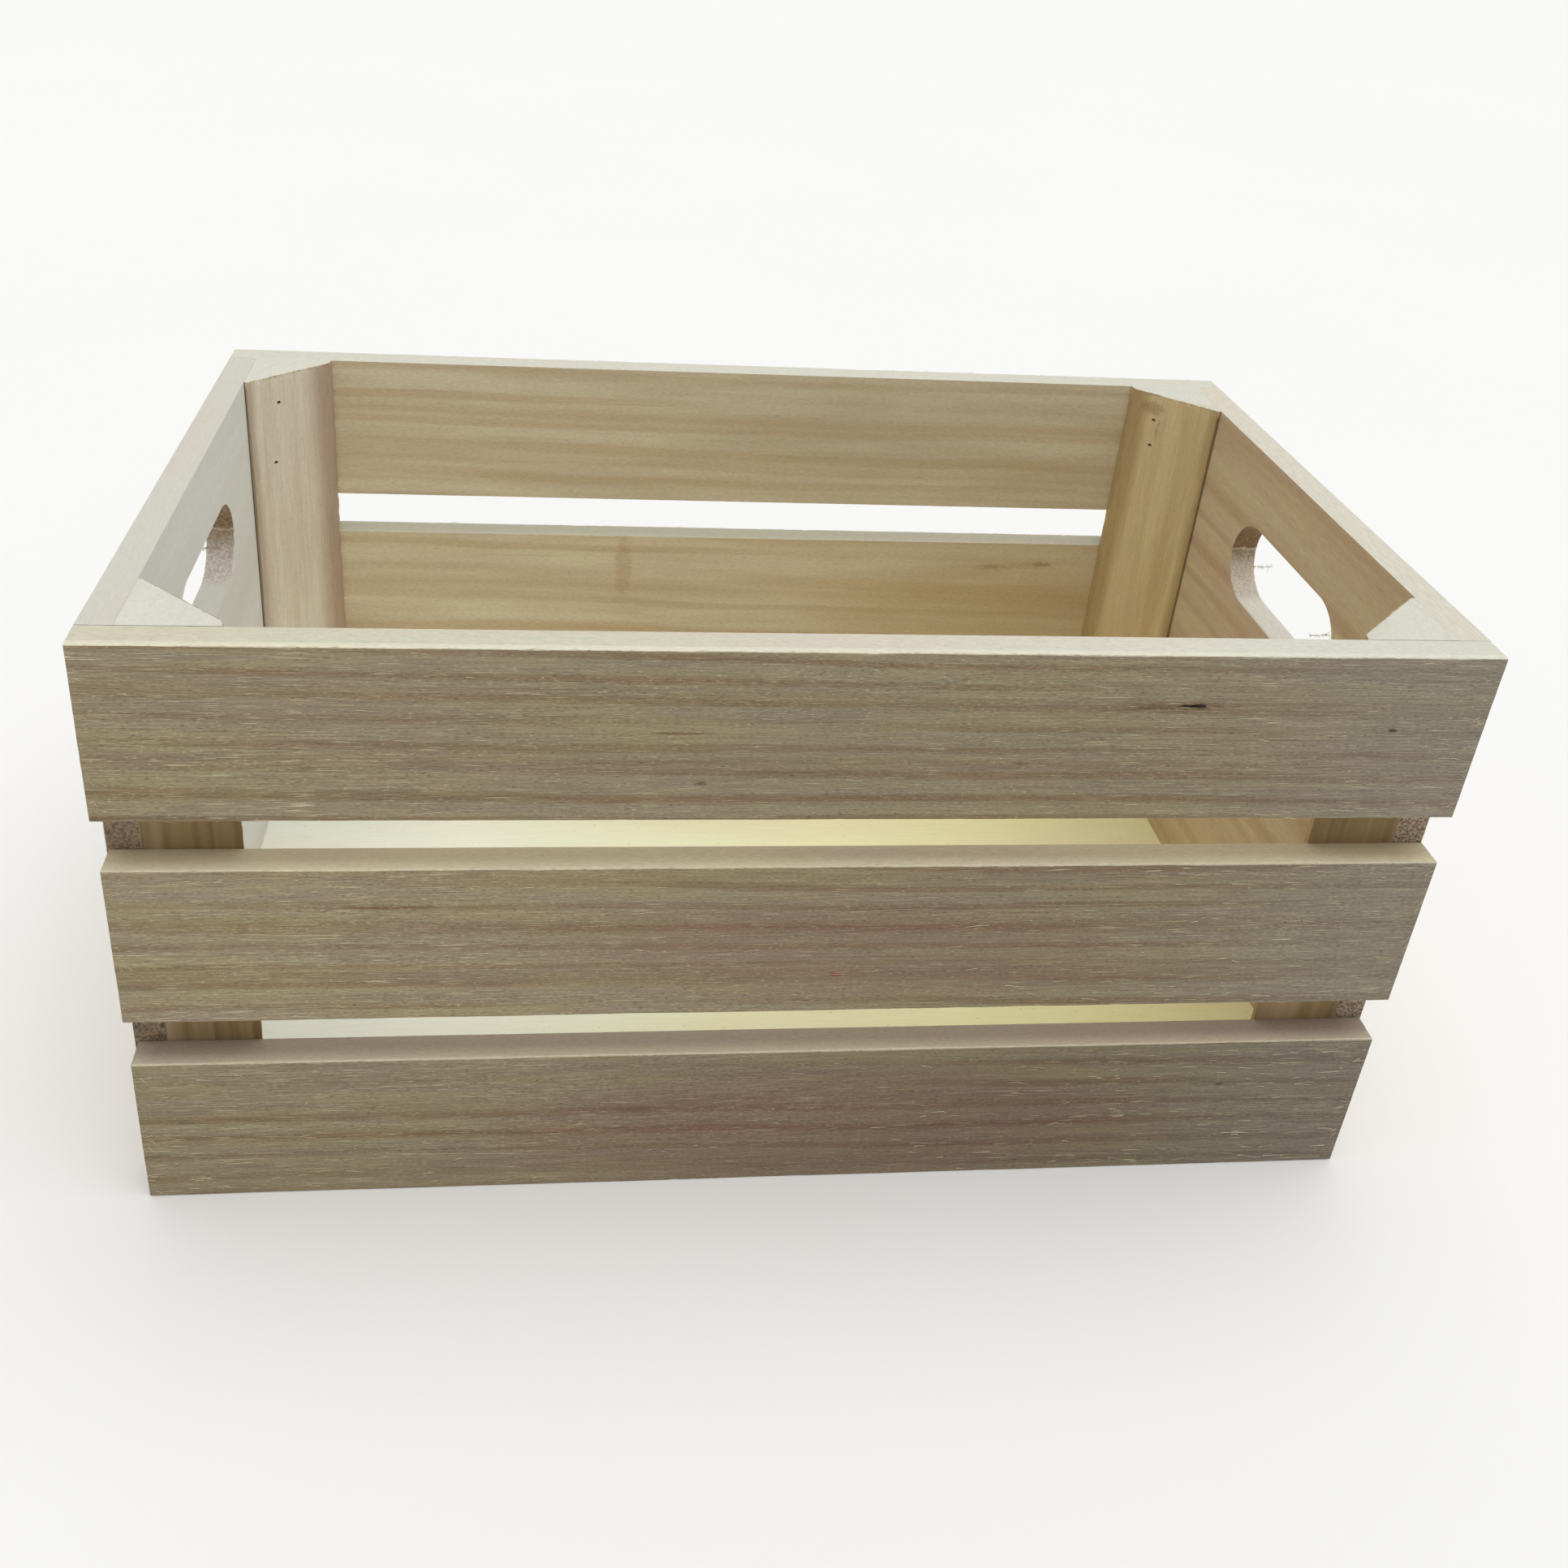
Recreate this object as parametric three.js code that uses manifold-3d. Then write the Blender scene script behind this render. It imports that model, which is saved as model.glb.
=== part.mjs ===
// Wooden apple crate: three slats along each side, two end panels with hand-holes, four
// triangular corner posts, a thin floor let into the end panels, and the brads that hold it.
// Millimetres, +Z up. The origin is the centre of the base, +X runs along the slats and +Y
// points to the back.

import * as THREE from 'three';
import { mergeVertices } from 'three/addons/utils/BufferGeometryUtils.js';
import Module from 'manifold-3d';

// Overall size
const LENGTH = 400; // along the slats
const WIDTH = 225; // across the crate, over the slats
const BOARD = 10; // thickness of the slats and of the end panels

// Slats
const SLAT_HEIGHT = 57;
const SLAT_GAP = 17;
const SLAT_EASING = 0.8; // rounding of the long edges
const EASING_STEPS = 3;
const LEVELS = ['bottom', 'middle', 'top'];
const HEIGHT = LEVELS.length * SLAT_HEIGHT + (LEVELS.length - 1) * SLAT_GAP;
// How far each slat's two ends stop short of the crate's full length, left then right
const END_SHORTFALL = {
  front_bottom: [1.2, 0.6],
  front_middle: [0.8, 0],
  front_top: [0, 0.4],
  back_bottom: [0.6, 0.9],
  back_middle: [0.3, 0.7],
  back_top: [0, 0],
};

// End panels
const PANEL_CHAMFER = 0.5;
const HANDLE_LENGTH = 82;
const HANDLE_HEIGHT = 30.6;
const HANDLE_DROP = 28; // from the rim down to the top of the hand-hole
const HANDLE_STEPS = 10; // facets in each half-round end, per quarter turn

// Floor
const FLOOR_THICKNESS = 5;
const FLOOR_UNDERSIDE = 13; // height of its lower face above the base
const GROOVE_DEPTH = 4.5;

// Corner posts: a right-angled triangle whose two sharp corners are cut off
const POST_TRIANGLE_X = 31; // legs of the uncut triangle
const POST_TRIANGLE_Y = 27;
const POST_LEG_X = 28; // legs as cut
const POST_LEG_Y = 26;
const POST_NOSE = 1.6; // square part of the blunt edge beside the slat
const POST_GAP = 0.3; // hairline between a post and the end panel

// Brads: 18 gauge, driven from inside and sunk below the posts' sloping faces
const BRAD_RADIUS = 0.6;
const BRAD_HEAD_RADIUS = 1;
const BRAD_HEAD_THICKNESS = 0.6;
const BRAD_TIP = 1.6;
const BRAD_SUNK = 1.5;
const BRAD_CLEARANCE = 0.15;
const BRAD_SIDES = 10;
const SHORT_BRAD = 16;
const LONG_BRAD = 25;
// Into the slats at each level: distance in from a post's end face, and drop from the slat's top
const SLAT_BRADS = {
  left: { length: LONG_BRAD, spots: { bottom: [[10, 10], [10, 30]], top: [[10.3, 11], [8.1, 35]] } },
  right: { length: SHORT_BRAD, spots: { bottom: [[20, 10], [20, 30]], top: [[19.7, 11], [19.3, 22]] } },
};
// Into the end panels: distance from the slat, and drops from the rim
const PANEL_BRADS = { fromSlat: 10, drops: [140, 168] };

const PANEL_FACE_X = LENGTH / 2 - BOARD; // inner face of an end panel
const SLAT_FACE_Y = WIDTH / 2 - BOARD; // inner face of a slat
const FLOOR_TOP = FLOOR_UNDERSIDE + FLOOR_THICKNESS;
const OVERCUT = 5; // how far a cutter runs out past the surface that it opens

const CORNERS = [
  { name: 'front_left', end: 'left', x: -1, y: -1 },
  { name: 'front_right', end: 'right', x: 1, y: -1 },
  { name: 'back_left', end: 'left', x: -1, y: 1 },
  { name: 'back_right', end: 'right', x: 1, y: 1 },
];

// An extrusion made in local XY along local Z, laid so that it runs along +X
const ALONG_X = new THREE.Matrix4().makeBasis(
  new THREE.Vector3(0, 1, 0),
  new THREE.Vector3(0, 0, 1),
  new THREE.Vector3(1, 0, 0),
);

const FINISHES = {
  slat: { color: 0x8e8068, roughness: 0.85, metalness: 0 },
  panel: { color: 0xa8977a, roughness: 0.75, metalness: 0 },
  post: { color: 0xae9c78, roughness: 0.7, metalness: 0 },
  floor: { color: 0xdcd6b4, roughness: 0.6, metalness: 0 },
  brad: { color: 0x8a8d90, roughness: 0.4, metalness: 1 },
};

const wasm = await Module();
wasm.setup();

// A closed geometry as a solid that can be cut
function toSolid(geometry) {
  const bare = geometry.clone();
  bare.deleteAttribute('normal');
  bare.deleteAttribute('uv');
  const merged = mergeVertices(bare, 1e-4);
  return new wasm.Manifold(new wasm.Mesh({
    numProp: 3,
    vertProperties: new Float32Array(merged.attributes.position.array),
    triVerts: new Uint32Array(merged.index.array),
  }));
}

function toGeometry(solid) {
  const mesh = solid.getMesh();
  const geometry = new THREE.BufferGeometry();
  geometry.setAttribute('position', new THREE.BufferAttribute(mesh.vertProperties, 3));
  geometry.setIndex(new THREE.BufferAttribute(mesh.triVerts, 1));
  geometry.computeVertexNormals();
  return geometry;
}

function cut(geometry, cutters) {
  return toGeometry(cutters.reduce((solid, cutter) => solid.subtract(toSolid(cutter)), toSolid(geometry)));
}

function piece(name, geometry, finish) {
  const mesh = new THREE.Mesh(geometry, new THREE.MeshStandardMaterial(FINISHES[finish]));
  mesh.name = name;
  return mesh;
}

// A rectangle with rounded corners, centred on (centreX, centreY)
function roundedRectangle(width, height, radius, centreX, centreY) {
  const shape = new THREE.Shape();
  const right = centreX + width / 2 - radius;
  const left = centreX - width / 2 + radius;
  const top = centreY + height / 2 - radius;
  const bottom = centreY - height / 2 + radius;
  shape.absarc(right, bottom, radius, -Math.PI / 2, 0);
  shape.absarc(right, top, radius, 0, Math.PI / 2);
  shape.absarc(left, top, radius, Math.PI / 2, Math.PI);
  shape.absarc(left, bottom, radius, Math.PI, 1.5 * Math.PI);
  shape.closePath();
  return shape;
}

function extrude(shape, depth, curveSegments) {
  return new THREE.ExtrudeGeometry(shape, { depth, curveSegments, bevelEnabled: false });
}

// A brad as a turned profile along +Y, its head's top at the origin
function bradProfile(length) {
  return [
    [0, 0],
    [BRAD_HEAD_RADIUS, 0],
    [BRAD_HEAD_RADIUS, BRAD_HEAD_THICKNESS],
    [BRAD_RADIUS, BRAD_HEAD_THICKNESS],
    [BRAD_RADIUS, length - BRAD_TIP],
    [0, length],
  ];
}

// The hole that a brad sits in, open past its head
function bradHoleProfile(length) {
  const shoulder = BRAD_HEAD_THICKNESS + BRAD_CLEARANCE;
  return [
    [0, -OVERCUT],
    [BRAD_HEAD_RADIUS + BRAD_CLEARANCE, -OVERCUT],
    [BRAD_HEAD_RADIUS + BRAD_CLEARANCE, shoulder],
    [BRAD_RADIUS + BRAD_CLEARANCE, shoulder],
    [BRAD_RADIUS + BRAD_CLEARANCE, length + BRAD_CLEARANCE],
    [0, length + BRAD_CLEARANCE],
  ];
}

function turned(profile) {
  return new THREE.LatheGeometry(profile.map(([r, y]) => new THREE.Vector2(r, y)), BRAD_SIDES);
}

// Distance of a post's sloping face from the slat, at a distance from the end panel, and back
const slopeFromSlat = (fromPanel) => POST_TRIANGLE_Y * (1 - fromPanel / POST_TRIANGLE_X);
const slopeFromPanel = (fromSlat) => POST_TRIANGLE_X * (1 - fromSlat / POST_TRIANGLE_Y);

const slatTop = (level) => LEVELS.indexOf(level) * (SLAT_HEIGHT + SLAT_GAP) + SLAT_HEIGHT;

// Where every brad sits: its corner, its head's place and the turn that points it outwards
function bradPlaces(corner) {
  const postX = corner.x * (PANEL_FACE_X - POST_GAP);
  const postY = corner.y * SLAT_FACE_Y;
  const row = SLAT_BRADS[corner.end];
  const intoSlats = Object.entries(row.spots).flatMap(([level, spots]) => spots.map(([inset, drop], i) => ({
    name: `brad_${corner.name}_${level}_${i + 1}`,
    target: level,
    length: row.length,
    position: new THREE.Vector3(
      postX - corner.x * inset,
      postY - corner.y * (slopeFromSlat(inset) - BRAD_SUNK),
      slatTop(level) - drop,
    ),
    turn: corner.y > 0 ? 0 : Math.PI,
  })));
  const intoPanel = PANEL_BRADS.drops.map((drop, i) => ({
    name: `brad_${corner.name}_end_${i + 1}`,
    target: 'end',
    length: LONG_BRAD,
    position: new THREE.Vector3(
      postX - corner.x * (slopeFromPanel(PANEL_BRADS.fromSlat) - BRAD_SUNK),
      postY - corner.y * PANEL_BRADS.fromSlat,
      HEIGHT - drop,
    ),
    turn: -corner.x * Math.PI / 2,
  }));
  return [...intoSlats, ...intoPanel];
}

const placesByCorner = new Map(CORNERS.map((corner) => [corner.name, bradPlaces(corner)]));

function bradHole(place) {
  const hole = turned(bradHoleProfile(place.length));
  hole.rotateZ(place.turn);
  return hole.translate(...place.position);
}

function brad(place) {
  const mesh = piece(place.name, turned(bradProfile(place.length)), 'brad');
  mesh.rotation.z = place.turn;
  mesh.position.copy(place.position);
  return mesh;
}

function slat(side, level) {
  const name = `${side}_${level}`;
  const [leftShortfall, rightShortfall] = END_SHORTFALL[name];
  const outward = side === 'back' ? 1 : -1;
  const centreY = outward * (WIDTH - BOARD) / 2;
  const centreZ = slatTop(level) - SLAT_HEIGHT / 2;
  const section = roundedRectangle(BOARD, SLAT_HEIGHT, SLAT_EASING, centreY, centreZ);
  const board = extrude(section, LENGTH - leftShortfall - rightShortfall, EASING_STEPS);
  board.applyMatrix4(ALONG_X);
  board.translate(leftShortfall - LENGTH / 2, 0, 0);
  const holes = CORNERS.filter((corner) => corner.y === outward)
    .flatMap((corner) => placesByCorner.get(corner.name))
    .filter((place) => place.target === level)
    .map(bradHole);
  return piece(`slat_${name}`, cut(board, holes), 'slat');
}

function handHole() {
  const radius = HANDLE_HEIGHT / 2;
  const middle = HEIGHT - HANDLE_DROP - radius;
  const straight = HANDLE_LENGTH / 2 - radius;
  const hole = new THREE.Path();
  hole.absarc(straight, middle, radius, -Math.PI / 2, Math.PI / 2);
  hole.absarc(-straight, middle, radius, Math.PI / 2, 1.5 * Math.PI);
  hole.closePath();
  return hole;
}

function endPanel(end) {
  const outward = end === 'right' ? 1 : -1;
  const outline = new THREE.Shape([
    new THREE.Vector2(-SLAT_FACE_Y, 0),
    new THREE.Vector2(SLAT_FACE_Y, 0),
    new THREE.Vector2(SLAT_FACE_Y, HEIGHT),
    new THREE.Vector2(-SLAT_FACE_Y, HEIGHT),
  ]);
  outline.holes.push(handHole());
  const board = new THREE.ExtrudeGeometry(outline, {
    depth: BOARD - 2 * PANEL_CHAMFER,
    curveSegments: HANDLE_STEPS,
    bevelSize: PANEL_CHAMFER,
    bevelThickness: PANEL_CHAMFER,
    bevelOffset: -PANEL_CHAMFER,
    bevelSegments: 1,
  });
  board.translate(0, 0, outward * (LENGTH - BOARD) / 2 - (BOARD / 2 - PANEL_CHAMFER));
  board.applyMatrix4(ALONG_X);
  const groove = new THREE.BoxGeometry(2 * GROOVE_DEPTH, WIDTH, FLOOR_THICKNESS);
  groove.translate(outward * PANEL_FACE_X, 0, FLOOR_UNDERSIDE + FLOOR_THICKNESS / 2);
  const holes = CORNERS.filter((corner) => corner.x === outward)
    .flatMap((corner) => placesByCorner.get(corner.name))
    .filter((place) => place.target === 'end')
    .map(bradHole);
  return piece(`end_panel_${end}`, cut(board, [groove, ...holes]), 'panel');
}

// Cut from a triangular strip: it stands on the floor in the corner, its slope facing inwards
function cornerPost(corner) {
  const outline = new THREE.Shape();
  const at = (fromPanel, fromSlat) => [
    corner.x * (PANEL_FACE_X - POST_GAP - fromPanel),
    corner.y * (SLAT_FACE_Y - fromSlat),
  ];
  const slopeStart = POST_LEG_X - POST_NOSE;
  outline.moveTo(...at(0, 0));
  outline.lineTo(...at(POST_LEG_X, 0));
  outline.lineTo(...at(POST_LEG_X, POST_NOSE));
  outline.quadraticCurveTo(
    ...at(POST_LEG_X, slopeFromSlat(POST_LEG_X)),
    ...at(slopeStart, slopeFromSlat(slopeStart)),
  );
  outline.lineTo(...at(slopeFromPanel(POST_LEG_Y), POST_LEG_Y));
  outline.lineTo(...at(0, POST_LEG_Y));
  outline.closePath();
  const strip = extrude(outline, HEIGHT - FLOOR_TOP, EASING_STEPS);
  strip.translate(0, 0, FLOOR_TOP);
  const holes = placesByCorner.get(corner.name).map(bradHole);
  return piece(`corner_post_${corner.name}`, cut(strip, holes), 'post');
}

function floorPanel() {
  const length = 2 * (PANEL_FACE_X + GROOVE_DEPTH);
  const sheet = new THREE.BoxGeometry(length, 2 * SLAT_FACE_Y, FLOOR_THICKNESS);
  const mesh = piece('floor_panel', sheet, 'floor');
  mesh.position.z = FLOOR_UNDERSIDE + FLOOR_THICKNESS / 2;
  return mesh;
}

function crate() {
  const group = new THREE.Group();
  for (const side of ['front', 'back']) {
    for (const level of LEVELS) {
      group.add(slat(side, level));
    }
  }
  group.add(endPanel('left'), endPanel('right'));
  group.add(floorPanel());
  for (const corner of CORNERS) {
    group.add(cornerPost(corner));
    group.add(...placesByCorner.get(corner.name).map(brad));
  }
  return group;
}

export default crate();
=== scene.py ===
import math
import random

import bmesh
import bpy
from mathutils import Euler, Matrix, Vector, noise


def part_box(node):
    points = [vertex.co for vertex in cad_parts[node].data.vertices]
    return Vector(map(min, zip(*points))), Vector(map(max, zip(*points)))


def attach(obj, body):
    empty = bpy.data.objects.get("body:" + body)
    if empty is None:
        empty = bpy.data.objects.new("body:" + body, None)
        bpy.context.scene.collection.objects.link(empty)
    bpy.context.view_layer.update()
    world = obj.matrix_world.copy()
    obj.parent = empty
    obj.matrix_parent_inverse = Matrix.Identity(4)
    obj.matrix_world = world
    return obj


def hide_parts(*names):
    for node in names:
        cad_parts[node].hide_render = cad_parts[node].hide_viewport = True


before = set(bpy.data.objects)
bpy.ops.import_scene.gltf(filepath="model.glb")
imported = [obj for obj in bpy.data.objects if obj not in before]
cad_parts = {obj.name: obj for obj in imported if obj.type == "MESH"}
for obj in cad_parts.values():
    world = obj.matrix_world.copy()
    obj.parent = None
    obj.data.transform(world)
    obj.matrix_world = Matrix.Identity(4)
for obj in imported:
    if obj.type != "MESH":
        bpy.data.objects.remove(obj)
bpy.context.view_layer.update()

MM = 0.001
X, Y, Z = 0, 1, 2
LEVELS = ("bottom", "middle", "top")
CORNERS = {
    "front_left": (-1, -1),
    "front_right": (1, -1),
    "back_left": (-1, 1),
    "back_right": (1, 1),
}

# Boards: how finely their faces follow the grain, and how far their long edges are eased
EDGE_STEPS = (0.2 * MM, 0.55 * MM, 1.0 * MM, 1.5 * MM)
SLAT_PITCH = (2.6 * MM, 1.2 * MM, 0.8 * MM)
PANEL_PITCH = (1.2 * MM, 2.8 * MM, 1.3 * MM)
FLOOR_PITCH = (8 * MM, 5 * MM, 2 * MM)
UPPER_EASING = 0.75 * MM
LOWER_EASING = 0.6 * MM
INNER_EASING = 0.16 * MM
END_EASING = 0.14 * MM

# Hand-holes: a stadium, its rim slightly rounded over
HANDLE_LENGTH = 82 * MM
HANDLE_HEIGHT = 30.6 * MM
HANDLE_DROP = 28 * MM
HANDLE_SEGMENTS = 96

# Corner posts: a triangle with its two sharp corners cut off
POST_TRIANGLE_X = 31 * MM
POST_TRIANGLE_Y = 27 * MM
POST_NOSE = 1.6 * MM
POST_SLOPE_CUTS = 30
POST_HEIGHT_CUTS = 62

# Where the blunt edge beside the slat is torn, on the back left post
TORN_NOSE_LOW = 118 * MM
TORN_NOSE_HIGH = 152 * MM
# From the heel of a post's slope to its nose, along the slope
SLOPE_WIDTH = 36.5 * MM

BRAD_HOLE_RADIUS = 0.62 * MM
BRAD_HOLE_DEPTH = 9 * MM
BRAD_HOLE_START = 0.7 * MM

# Loose fibres: rings in each one, and how many stand on a slat's face, near each end and on its
# rims, in each round end of a hand-hole, and on a post's top edge
FIBRE_RINGS = 4
FIBRES_PER_SLAT = 300
FIBRES_PER_SLAT_END = 16
FIBRES_PER_SLAT_RIM = 70
FIBRES_PER_HOLE_END = 46
FIBRES_AT_MID_HEIGHT = 22
BURRS_PER_POST = 60

# The rim's height, and the slat faces that carry marks, these two in millimetres
RIM = 205 * MM
FRONT_FACE = -112.4
INNER_BACK_FACE = 102.5


# ---------------------------------------------------------------- node materials

def srgb(red, green, blue):
    """A colour given as 0 to 255 screen values, as the linear colour that a shader takes."""
    def linear(c):
        c /= 255
        return c / 12.92 if c <= 0.04045 else ((c + 0.055) / 1.055) ** 2.4
    return (linear(red), linear(green), linear(blue), 1.0)


class Value:
    """A number that varies over a surface: arithmetic on it adds Math nodes."""

    def __init__(self, finish, socket):
        self.finish = finish
        self.socket = socket

    def math(self, operation, *terms):
        terms = terms or (self,)
        return self.finish.node("ShaderNodeMath", {"operation": operation}, dict(enumerate(terms)))

    def __add__(self, other):
        return self.math("ADD", self, other)

    def __radd__(self, other):
        return self.math("ADD", other, self)

    def __sub__(self, other):
        return self.math("SUBTRACT", self, other)

    def __rsub__(self, other):
        return self.math("SUBTRACT", other, self)

    def __mul__(self, other):
        return self.math("MULTIPLY", self, other)

    def __rmul__(self, other):
        return self.math("MULTIPLY", other, self)

    def __pow__(self, other):
        return self.math("POWER", self, other)

    def __abs__(self):
        return self.math("ABSOLUTE", self)


class Finish:
    """A material under construction, with one Principled shader."""

    def __init__(self, name):
        self.material = bpy.data.materials.new(name)
        self.material.use_nodes = True
        self.tree = self.material.node_tree
        self.shader = self.tree.nodes["Principled BSDF"]

    def node(self, kind, settings=None, inputs=None, output=0):
        made = self.tree.nodes.new(kind)
        for name, value in (settings or {}).items():
            setattr(made, name, value)
        for key, value in (inputs or {}).items():
            if isinstance(value, Value):
                self.tree.links.new(value.socket, made.inputs[key])
            else:
                made.inputs[key].default_value = value
        return Value(self, made.outputs[output])

    def surface(self, **sockets):
        for name, value in sockets.items():
            socket = self.shader.inputs[name.replace("_", " ")]
            if isinstance(value, Value):
                self.tree.links.new(value.socket, socket)
            else:
                socket.default_value = value

    def stretch(self, vector, *scale):
        settings = {"operation": "MULTIPLY"}
        return self.node("ShaderNodeVectorMath", settings, {0: vector, 1: scale})

    def shift(self, vector, *offset):
        return self.node("ShaderNodeVectorMath", {"operation": "ADD"}, {0: vector, 1: offset})

    def dot(self, vector, direction):
        settings = {"operation": "DOT_PRODUCT"}
        inputs = {0: vector, 1: direction}
        return self.node("ShaderNodeVectorMath", settings, inputs, output="Value")

    def noise(self, vector, detail=2.0, roughness=0.5, distortion=0.0):
        inputs = {"Vector": vector, "Scale": 1.0, "Detail": detail, "Roughness": roughness,
                  "Distortion": distortion}
        return self.node("ShaderNodeTexNoise", {}, inputs)

    def rings(self, radius, detail=3.0, roughness=0.6):
        inputs = {"W": radius, "Scale": 1.0, "Detail": detail, "Roughness": roughness}
        return self.node("ShaderNodeTexNoise", {"noise_dimensions": "1D"}, inputs)

    def rise(self, value, low, high):
        """0 below low, 1 above high and a smooth slope between; high may be the lower one."""
        inputs = {"Value": value, "From Min": low, "From Max": high}
        return self.node("ShaderNodeMapRange", {"interpolation_type": "SMOOTHSTEP"}, inputs)

    def mix(self, share, first, second):
        inputs = {0: share, 6: first, 7: second}
        return self.node("ShaderNodeMix", {"data_type": "RGBA"}, inputs, output=2)

    def brighten(self, colour, amount):
        inputs = {0: colour, "Scale": amount}
        return self.node("ShaderNodeVectorMath", {"operation": "SCALE"}, inputs)

    def split(self, vector):
        parts = self.node("ShaderNodeSeparateXYZ", {}, {"Vector": vector}).socket.node
        return [Value(self, parts.outputs[i]) for i in range(3)]

    def mark(self, colour, place, centre, radii, tint, strength, wild=1.3):
        """A blot of another colour, ragged at its rim."""
        offset = self.stretch(self.shift(place, *(-c for c in centre)), *(1 / r for r in radii))
        settings = {"operation": "LENGTH"}
        distance = self.node("ShaderNodeVectorMath", settings, {0: offset}, output="Value")
        ragged = self.noise(self.stretch(place, 420, 1300, 1300), 2.0) - 0.5
        return self.mix(self.rise(distance + ragged * wild, 1.15, 0.55) * strength, colour, tint)

    def bump(self, height):
        """Height is in metres."""
        return self.node("ShaderNodeBump", {}, {"Height": height, "Strength": 1.0, "Distance": 1.0})


# Turns that bring a board's grain onto X
GRAIN_TURN = {X: (0, 0, 0), Y: (0, 0, -math.pi / 2), Z: (0, math.pi / 2, 0)}

# A piece's colours. sawn is its rough face and planed the others, each as plain wood, cooler wood and
# the stripes of its growth rings; fibre is how fine the figure is along and across the grain.
SLAT_LOOK = {
    "sawn": (srgb(157, 145, 114), srgb(150, 137, 115), srgb(122, 97, 66)),
    "sawn_fibre": (60, 3500),
    "sawn_contrast": 1.1,
    "sawn_bands": 0.32,
    "planed": (srgb(219, 206, 178), srgb(210, 195, 166), srgb(190, 165, 126)),
    "planed_fibre": (420, 1600),
    "planed_contrast": 0.3,
    "planed_bands": 0.55,
    "ring_scale": 95,
    "ring_pitch": 7.5 * MM,
    "ring_share": 0.52,
    "wander": 0.006,
    "blush": srgb(150, 126, 108),
    "blush_share": 0.12,
    "edge": (srgb(214, 210, 188), srgb(218, 206, 186)),
    "edge_share": 0.9,
    "end": (srgb(176, 156, 122), srgb(134, 110, 78)),
    "end_grit": (1500, 0.1),
    "thread": srgb(228, 218, 178),
    "line": srgb(102, 75, 52),
    "line_share": 0.65,
    "rough": 1.0,
    "shade": (1.0, 1.0),
}
# The long edges' plain and reddish wood, level by level, with painted shade: the middle and bottom
# slats' edges are painted darker for the shade of the slat above them
EDGE_TONES_WITH_SHADE = {
    "top": (srgb(208, 206, 184), srgb(212, 203, 184)),
    "middle": (srgb(192, 179, 150), srgb(185, 169, 146)),
    "bottom": (srgb(162, 148, 132), srgb(156, 138, 128)),
}
# Where the painted highlight strip on a front slat's upper edge starts and is full, in millimetres,
# and how pale it is
PAINTED_HIGHLIGHT_STRIP = {
    "top": (-110, -110.8, 0.5),
    "middle": (-106.5, -112, 0.62),
    "bottom": (-106.5, -112, 0.4),
}
# How light each slat's front face is at its left end and at its right end
SHADES = {
    ("front", "top"): (1.03, 0.91),
    ("front", "middle"): (1.09, 0.89),
    ("front", "bottom"): (0.95, 0.71),
    ("back", "top"): (1.05, 0.93),
    ("back", "middle"): (1.12, 1.02),
}
PANEL_LOOK = {
    "sawn": (srgb(214, 195, 160), srgb(208, 188, 158), srgb(184, 148, 116)),
    "sawn_fibre": (180, 1400),
    "sawn_contrast": 0.4,
    "sawn_bands": 0.55,
    "planed": (srgb(214, 195, 160), srgb(208, 188, 158), srgb(184, 148, 116)),
    "planed_fibre": (180, 1400),
    "planed_contrast": 0.4,
    "planed_bands": 0.55,
    "ring_scale": 42,
    "ring_pitch": 13 * MM,
    "ring_share": 0.4,
    "wander": 0.007,
    "blush": srgb(206, 170, 150),
    "blush_share": 0.3,
    "edge": (srgb(217, 214, 199), srgb(219, 211, 196)),
    "edge_share": 0.9,
    "end": (srgb(186, 168, 146), srgb(70, 52, 40)),
    "end_grit": (1500, 0.2),
    "thread": srgb(232, 222, 192),
    "line": srgb(124, 92, 62),
    "line_share": 0.5,
    "rough": 0.35,
    "shade": (1.0, 1.0),
}
# The left panel: its planed inner face is painted paler and bluer than the right panel's, painted
# light falling on it from the right
LEFT_PANEL_LOOK_WITH_LIGHT = dict(
    PANEL_LOOK,
    sawn=(srgb(220, 206, 178), srgb(214, 199, 172), srgb(194, 164, 132)),
    planed=(srgb(238, 241, 240), srgb(234, 238, 240), srgb(228, 226, 219)),
    planed_contrast=0.2,
    line_share=0.25,
    ring_share=0.25,
    blush=srgb(222, 210, 198),
    blush_share=0.15,
    edge=(srgb(205, 203, 187), srgb(209, 198, 184)),
    end=(srgb(156, 130, 92), srgb(62, 46, 29)),
    end_grit=(1050, 0.25),
)
POST_LOOK = {
    "sawn": (srgb(222, 202, 157), srgb(214, 191, 146), srgb(182, 150, 103)),
    "sawn_fibre": (70, 1500),
    "sawn_contrast": 0.3,
    "sawn_bands": 0.35,
    # Painted shade: the planed faces lie against the slats and panels and show only through the gaps,
    # so they are painted dark brown
    "planed": (srgb(144, 123, 86), srgb(134, 113, 78), srgb(112, 82, 54)),
    "planed_fibre": (30, 600),
    "planed_contrast": 0.5,
    "planed_bands": 0.6,
    "ring_scale": 120,
    "ring_pitch": 5 * MM,
    "ring_share": 0.16,
    "wander": 0.01,
    "blush": srgb(206, 176, 144),
    "blush_share": 0.3,
    "edge": (srgb(220, 217, 197), srgb(222, 210, 190)),
    "edge_share": 0.0,
    "end": (srgb(223, 224, 211), srgb(217, 215, 201)),
    "end_grit": (1100, 0.02),
    "thread": srgb(230, 218, 182),
    "line": srgb(152, 120, 84),
    "line_share": 0.22,
    "rough": 0.5,
    "shade": (1.0, 1.0),
}
PINK_POST_LOOK = dict(
    POST_LOOK,
    sawn=(srgb(236, 229, 212), srgb(230, 218, 200), srgb(214, 191, 168)),
    sawn_contrast=0.34,
    line=srgb(182, 150, 126),
    line_share=0.4,
    blush=srgb(220, 196, 180),
    blush_share=0.4,
)


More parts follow.
